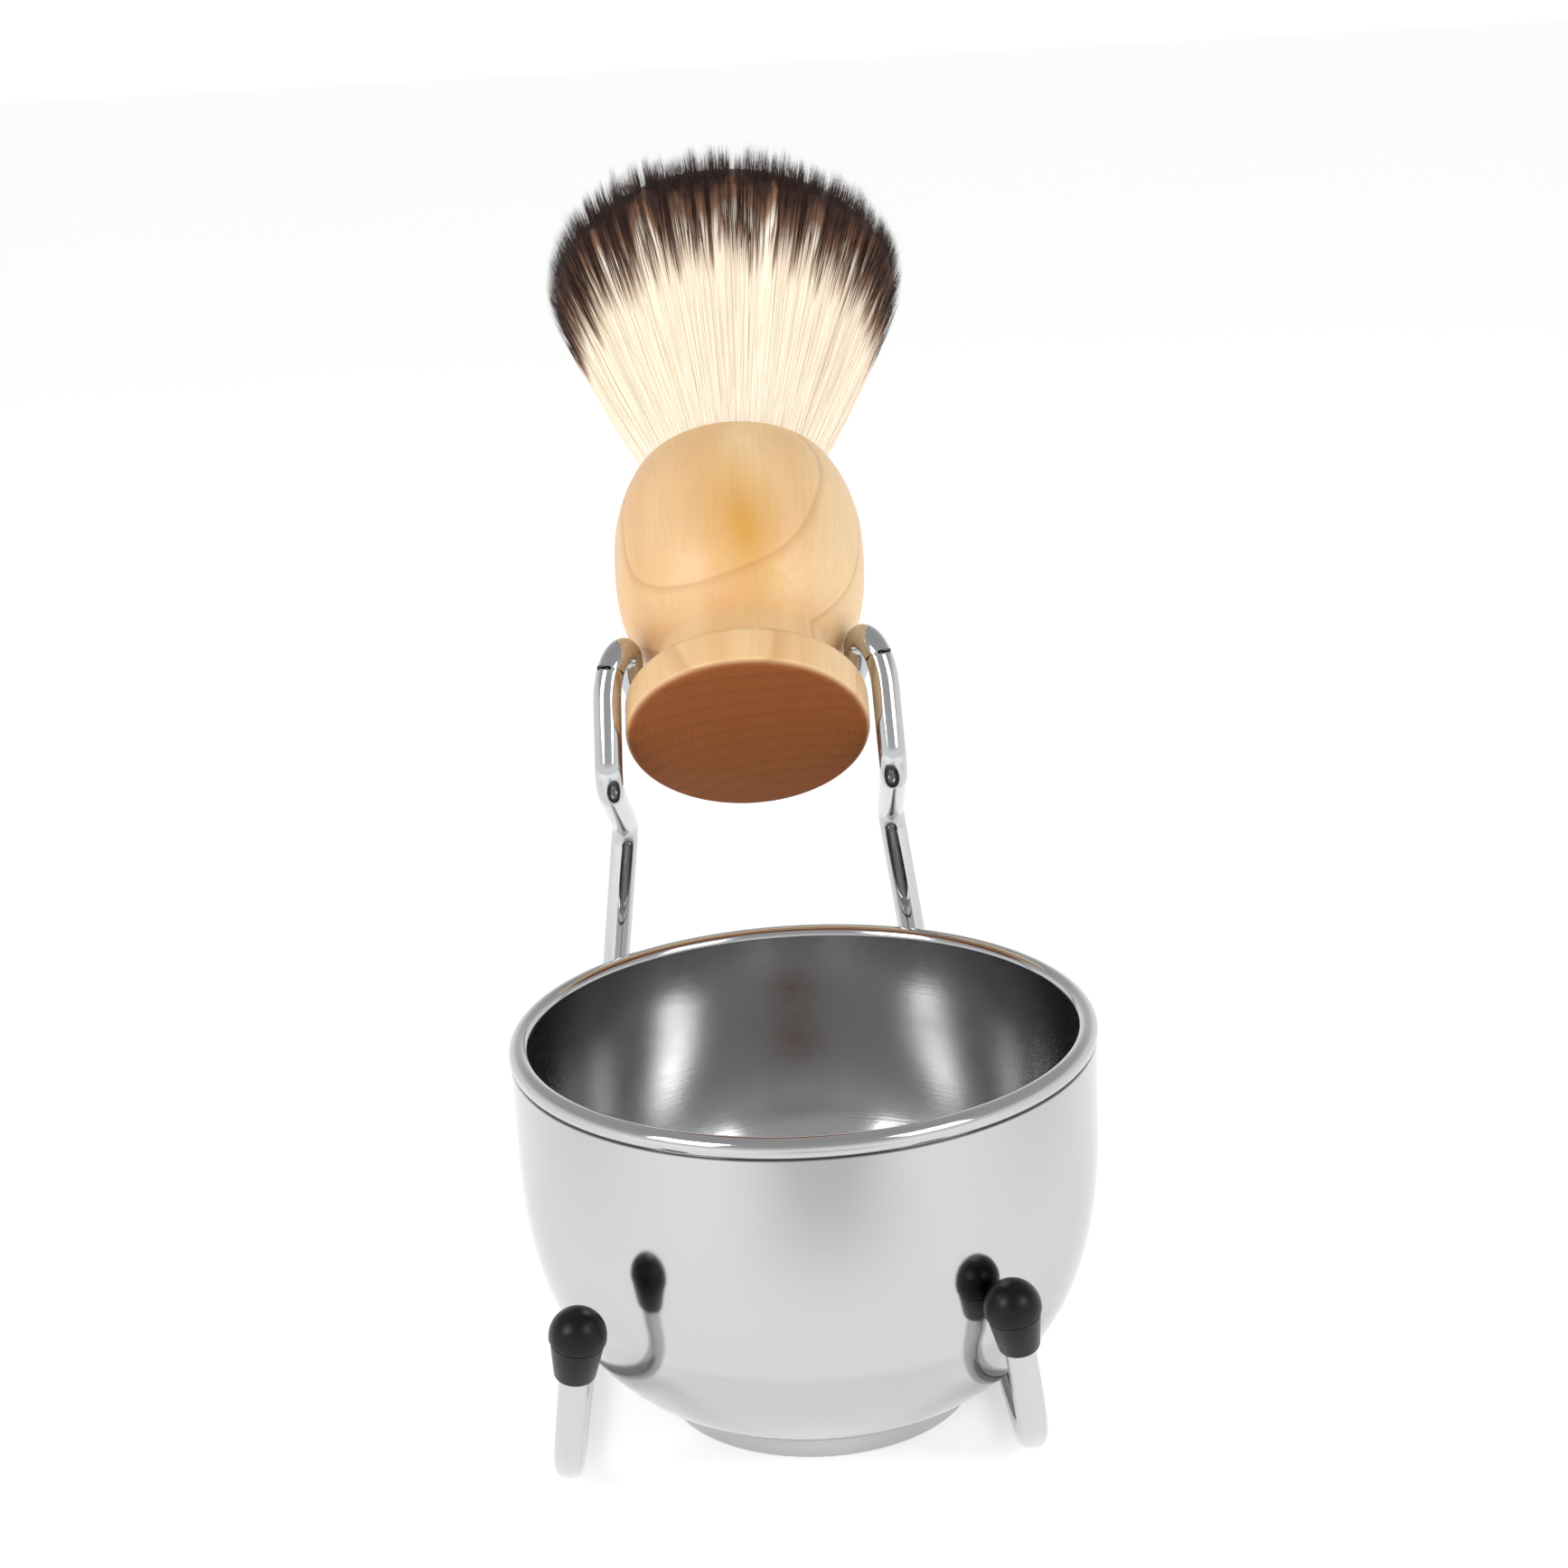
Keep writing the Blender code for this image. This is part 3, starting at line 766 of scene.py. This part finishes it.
def make_core(material, name, random):
    """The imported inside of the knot, which closes the view between the bristles."""
    sides = 96
    side_steps = 24
    crown_steps = 12
    width_share = 0.945
    crown_share = 0.92
    crown_drop = 0.0030
    crown = KNOT_TIP_AT - KNOT_WIDEST_AT
    outline = [(0.0, KNOT_ROOT_AT), (0.90 * KNOT_ROOT_RADIUS, KNOT_ROOT_AT)]
    for step in range(side_steps + 1):
        along = HANDLE_LENGTH + step / side_steps * (KNOT_WIDEST_AT - crown_drop - HANDLE_LENGTH)
        outline.append((width_share * fan_radius(along), along))
    top_radius, top_along = outline[-1]
    for step in range(1, crown_steps):
        angle = math.radians(90.0 * step / crown_steps)
        outline.append((top_radius * math.cos(angle), top_along + crown_share * crown * math.sin(angle)))
    outline.append((0.0, top_along + crown_share * crown))
    core = turn_outline(name, outline, sides)
    mesh = core.data
    places = np.empty(len(mesh.vertices) * 3)
    mesh.vertices.foreach_get("co", places)
    places = places.reshape(-1, 3)
    share = np.clip(np.hypot(places[:, 0], places[:, 1]) / fan_radius(places[:, 2]), 0.0, 1.0)
    turn = np.arctan2(places[:, 1], places[:, 0]) / (2.0 * math.pi)
    tone = random.uniform(0.15, 0.95, sides)[np.round(sides * turn).astype(int) % sides]
    tips = KNOT_WIDEST_AT + crown * np.sqrt(1.0 - share**2)
    from_tip = np.maximum(0.0, tips - places[:, 2])
    places[:, 1] *= fan_flatness(places[:, 2])
    mesh.vertices.foreach_set("co", places.ravel())
    keep_per_vertex(mesh, from_tip=from_tip, tone=tone)
    core.matrix_world = BRUSH_PLACE
    bpy.ops.object.transform_apply(location=True, rotation=True, scale=True)
    dress(core, material, "brush", "bristle", "bristle_knot")


def grow_bristles(random, count, radius):
    """Ring centres, radii, distances from the tip and tones of bristles in the brush's own frame."""
    crown = KNOT_TIP_AT - KNOT_WIDEST_AT
    outer_share = 0.45
    angle = random.uniform(0.0, 2.0 * math.pi, count)
    share = np.sqrt(random.uniform(0.0, 1.0, count))
    outer = random.uniform(0.0, 1.0, count) < outer_share
    share[outer] = random.uniform(0.90, 1.0, outer.sum())
    root = np.column_stack([share * np.cos(angle), share * np.sin(angle)])

    # Tips lean together in small tufts
    tufts = 850
    edge_share = 0.35
    furthest = 0.995
    tuft_angle = random.uniform(0.0, 2.0 * math.pi, tufts)
    tuft_share = np.sqrt(random.uniform(0.0, 1.0, tufts))
    edge = random.uniform(0.0, 1.0, tufts) < edge_share
    tuft_share[edge] = random.uniform(0.93, 1.0, edge.sum())
    tuft = np.column_stack([tuft_share * np.cos(tuft_angle), tuft_share * np.sin(tuft_angle)])
    nearest = np.array([np.argmin(((tuft - place) ** 2).sum(1)) for place in root])
    pull = random.uniform(0.25, 0.95, count)[:, None]
    tip = root + (tuft[nearest] - root) * pull + random.normal(0.0, 0.010, (count, 2))
    reach = np.hypot(tip[:, 0], tip[:, 1])
    tip /= np.maximum(1.0, reach / furthest)[:, None]
    reach = np.minimum(reach, furthest)
    tuft_length = random.normal(0.0, 0.0011, tufts)
    short = np.abs(random.normal(0.0, 0.0016, count))
    tip_along = KNOT_WIDEST_AT + crown * np.sqrt(1.0 - reach**2) - short + tuft_length[nearest]
    tip_along = np.minimum(tip_along, KNOT_TIP_AT)
    bow = random.normal(0.0, 0.00035, (count, 2))
    tone = random.uniform(0.0, 1.0, count)

    centres = []
    radii = []
    from_tip = []
    taper = 0.20
    length = (tip_along - HANDLE_LENGTH)[:, None] / (KNOT_TIP_AT - HANDLE_LENGTH)
    spread = tip * KNOT_HALF_WIDTH * (0.90 + 0.10 * length)
    # Ring places: one at the root in the socket, the rest as shares of the way from the handle to the tip
    for part in (-1.0, 0.0, 0.36, 0.72, 1.0):
        if part < 0.0:
            along = np.full(count, KNOT_ROOT_AT)
            middle = root * KNOT_ROOT_RADIUS
        else:
            along = HANDLE_LENGTH + part * (tip_along - HANDLE_LENGTH)
            middle = root * KNOT_ROOT_RADIUS + (spread - root * KNOT_ROOT_RADIUS) * part**KNOT_FAN_POWER
            middle = middle + bow * math.sin(math.pi * part)
        centres.append(np.column_stack([middle[:, 0], middle[:, 1] * fan_flatness(along), along]))
        radii.append(np.full(count, radius * (1.0 - taper * max(0.0, part))))
        from_tip.append(tip_along - along)
    return np.stack(centres, 1), np.stack(radii, 1), np.stack(from_tip, 1), tone


def make_bristle_mesh(name, random, centres, radii, from_tip, tone):
    """Three-sided tapered bristles, each closed at its root and pointed at its tip, as one mesh."""
    count, rings = centres.shape[:2]
    turn = random.uniform(0.0, 2.0 * math.pi, count)
    points = []
    depths = []
    for ring in range(rings - 1):
        for corner in range(3):
            angle = turn + 2.0 * math.pi * corner / 3.0
            offset = np.column_stack([np.cos(angle), np.sin(angle), np.zeros(count)])
            points.append(centres[:, ring] + offset * radii[:, ring, None])
            depths.append(from_tip[:, ring])
    points.append(centres[:, -1])
    depths.append(from_tip[:, -1])
    points = np.stack(points, 1)
    depths = np.stack(depths, 1)
    per = points.shape[1]
    faces = [(0, 2, 1)]
    for ring in range(rings - 2):
        for corner in range(3):
            after = (corner + 1) % 3
            low, high = 3 * ring, 3 * ring + 3
            faces.append((low + corner, low + after, high + after))
            faces.append((low + corner, high + after, high + corner))
    last = 3 * (rings - 2)
    faces += [(last + corner, last + (corner + 1) % 3, per - 1) for corner in range(3)]
    faces = (np.arange(count)[:, None, None] * per + np.array(faces)[None]).reshape(-1, 3)
    place = np.array(BRUSH_PLACE)
    world = points.reshape(-1, 3) @ place[:3, :3].T + place[:3, 3]
    world = np.clip(world, np.array(CAD_LOW), np.array(CAD_HIGH))
    mesh = bpy.data.meshes.new(name)
    mesh.from_pydata(world.tolist(), [], faces.tolist())
    keep_per_vertex(mesh, from_tip=depths.ravel(), tone=np.repeat(tone, per))
    mesh.shade_smooth()
    item = bpy.data.objects.new(name, mesh)
    bpy.context.scene.collection.objects.link(item)
    return item


class MESH_OT_shaving_knot(bpy.types.Operator):
    """Grow the bristle knot and finish the resin plug that holds it"""

    bl_idname = "mesh.shaving_knot"
    bl_label = "Bristle Knot"

    def execute(self, context):
        settings = context.scene.shaving_brush
        random = np.random.default_rng(2026)
        hair = bristle_material(settings)
        make_core(hair, "knot_core", random)
        grown = grow_bristles(random, settings.bristles, settings.bristle_radius)
        bunches = 4
        for bunch in range(bunches):
            parts = [values[bunch::bunches] for values in grown]
            item = make_bristle_mesh("bristles_%d" % (bunch + 1), random, *parts)
            dress(item, hair, "brush", "bristle", "bristle_knot")
        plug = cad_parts["knot_plug"]
        plug.data.materials.clear()
        plug.data.materials.append(resin_material(settings.resin))
        return {"FINISHED"}


# ---------------------------------------------------------------- stage


class MESH_OT_shaving_stage(bpy.types.Operator):
    """Lay the floor, set the soft lights and place the camera"""

    bl_idname = "mesh.shaving_stage"
    bl_label = "Stage"

    def execute(self, context):
        settings = context.scene.shaving_stage
        deselect_all()
        bpy.ops.mesh.primitive_plane_add(size=settings.floor_size, location=(0.0, 0.0, -0.0001))
        floor = context.object
        floor.name = "studio_floor"
        bpy.ops.object.transform_apply(location=True, rotation=True, scale=True)
        material, tree, shader = start_material("matt_pale_floor")
        place = add_node(tree, "ShaderNodeTexCoord", {}).outputs["Object"]
        mottle = add_node(tree, "ShaderNodeTexNoise", {}, Vector=place, Scale=9.0).outputs["Fac"]
        tint = add_node(
            tree, "ShaderNodeMix", COLOURS, _0=mottle, _6=shaded(settings.floor, 0.99), _7=settings.floor
        ).outputs[2]
        # The floor glows softly, like a lit table, less in front of the set and a little less at its sides
        glow = 0.46
        dimmer_spots = (
            ((0.01, -0.19, 0.0), (0.12, 0.14, 1.0), -1.1),
            ((-0.19, -0.01, 0.0), (0.13, 0.16, 1.0), -0.30),
            ((0.19, -0.01, 0.0), (0.13, 0.16, 1.0), -0.30),
        )
        for spot, size, change in dimmer_spots:
            near = add_node(
                tree, "ShaderNodeMapping", PLACED, Vector=place, Location=spot, Scale=size
            ).outputs[0]
            fade = add_node(
                tree, "ShaderNodeTexGradient", {"gradient_type": "QUADRATIC_SPHERE"}, Vector=near
            ).outputs["Fac"]
            glow = add_node(
                tree, "ShaderNodeMath", {"operation": "MULTIPLY_ADD", "use_clamp": True},
                _0=fade, _1=change, _2=glow
            ).outputs[0]
        set_inputs(tree, shader, Base_Color=tint, Roughness=0.9)
        set_inputs(tree, shader, Emission_Color=(1.0, 1.0, 1.0), Emission_Strength=glow)
        floor.data.materials.append(material)

        world = bpy.data.worlds.new("soft_studio")
        world.use_nodes = True
        context.scene.world = world
        tree = world.node_tree
        heading = add_node(tree, "ShaderNodeTexCoord", {}).outputs["Generated"]
        height = add_node(tree, "ShaderNodeSeparateXYZ", {}, _0=heading).outputs[2]
        stops = [(0.0, 1.0), (0.16, 1.0), (0.45, 0.52), (1.0, 0.44)]
        sky = add_node(tree, "ShaderNodeValToRGB", {}, stops, Fac=height).outputs[0]
        set_inputs(tree, tree.nodes["Background"], Color=sky, Strength=1.02)

        aim = Vector((-0.004, 0.03, 0.07))
        softbox_size = 0.34
        softboxes = (("softbox_left", (-0.52, -0.42, 0.52), 1.0), ("softbox_right", (0.50, -0.44, 0.50), 0.7))
        for name, spot, share in softboxes:
            data = bpy.data.lights.new(name, "AREA")
            data.shape = "SQUARE"
            data.size = softbox_size
            data.energy = share * settings.light
            light = bpy.data.objects.new(name, data)
            context.scene.collection.objects.link(light)
            light.location = spot
            light.rotation_euler = (aim - Vector(spot)).to_track_quat("-Z", "Y").to_euler()
            light.visible_camera = False

        forward = Vector((
            math.sin(CAMERA_YAW) * math.cos(CAMERA_PITCH),
            math.cos(CAMERA_YAW) * math.cos(CAMERA_PITCH),
            -math.sin(CAMERA_PITCH),
        ))
        right = Vector((math.cos(CAMERA_YAW), -math.sin(CAMERA_YAW), 0.0))
        up = right.cross(forward)
        across = math.cos(CAMERA_ROLL) * right - math.sin(CAMERA_ROLL) * up
        upward = math.sin(CAMERA_ROLL) * right + math.cos(CAMERA_ROLL) * up
        data = bpy.data.cameras.new("camera")
        data.lens = CAMERA_LENS
        data.sensor_width = 36.0
        data.clip_start = 0.01
        camera = bpy.data.objects.new("camera", data)
        context.scene.collection.objects.link(camera)
        turn = Matrix((across, upward, -forward)).transposed().to_4x4()
        camera.matrix_world = Matrix.Translation(CAMERA_PLACE) @ turn
        context.scene.camera = camera
        context.scene.view_settings.view_transform = "Standard"
        return {"FINISHED"}


class VIEW3D_PT_shaving_set(bpy.types.Panel):
    """Sizes, colours and steps of the shaving set"""

    bl_idname = "VIEW3D_PT_shaving_set"
    bl_label = "Shaving Set"
    bl_space_type = "VIEW_3D"
    bl_region_type = "UI"
    bl_category = "Shaving Set"

    def draw(self, context):
        for operator, group in STEPS:
            box = self.layout.box()
            box.operator("mesh." + operator)
            settings = getattr(context.scene, group)
            for name in settings.__annotations__:
                box.prop(settings, name)


STEPS = (
    ("shaving_bowl", "shaving_bowl"),
    ("shaving_stand", "shaving_stand"),
    ("shaving_caps", "shaving_stand"),
    ("shaving_handle", "shaving_brush"),
    ("shaving_knot", "shaving_brush"),
    ("shaving_stage", "shaving_stage"),
)
GROUPS = {
    "shaving_bowl": ShavingBowlSettings,
    "shaving_stand": ShavingStandSettings,
    "shaving_brush": ShavingBrushSettings,
    "shaving_stage": ShavingStageSettings,
}
CLASSES = (
    MESH_OT_shaving_bowl,
    MESH_OT_shaving_stand,
    MESH_OT_shaving_caps,
    MESH_OT_shaving_handle,
    MESH_OT_shaving_knot,
    MESH_OT_shaving_stage,
    VIEW3D_PT_shaving_set,
)


def register():
    for item in (*GROUPS.values(), *CLASSES):
        bpy.utils.register_class(item)
    for name, group in GROUPS.items():
        setattr(bpy.types.Scene, name, bpy.props.PointerProperty(type=group))


def unregister():
    for name in GROUPS:
        delattr(bpy.types.Scene, name)
    for item in reversed((*GROUPS.values(), *CLASSES)):
        bpy.utils.unregister_class(item)


def main():
    register()
    for operator, _ in STEPS:
        getattr(bpy.ops.mesh, operator)()


if __name__ == "__main__":
    main()
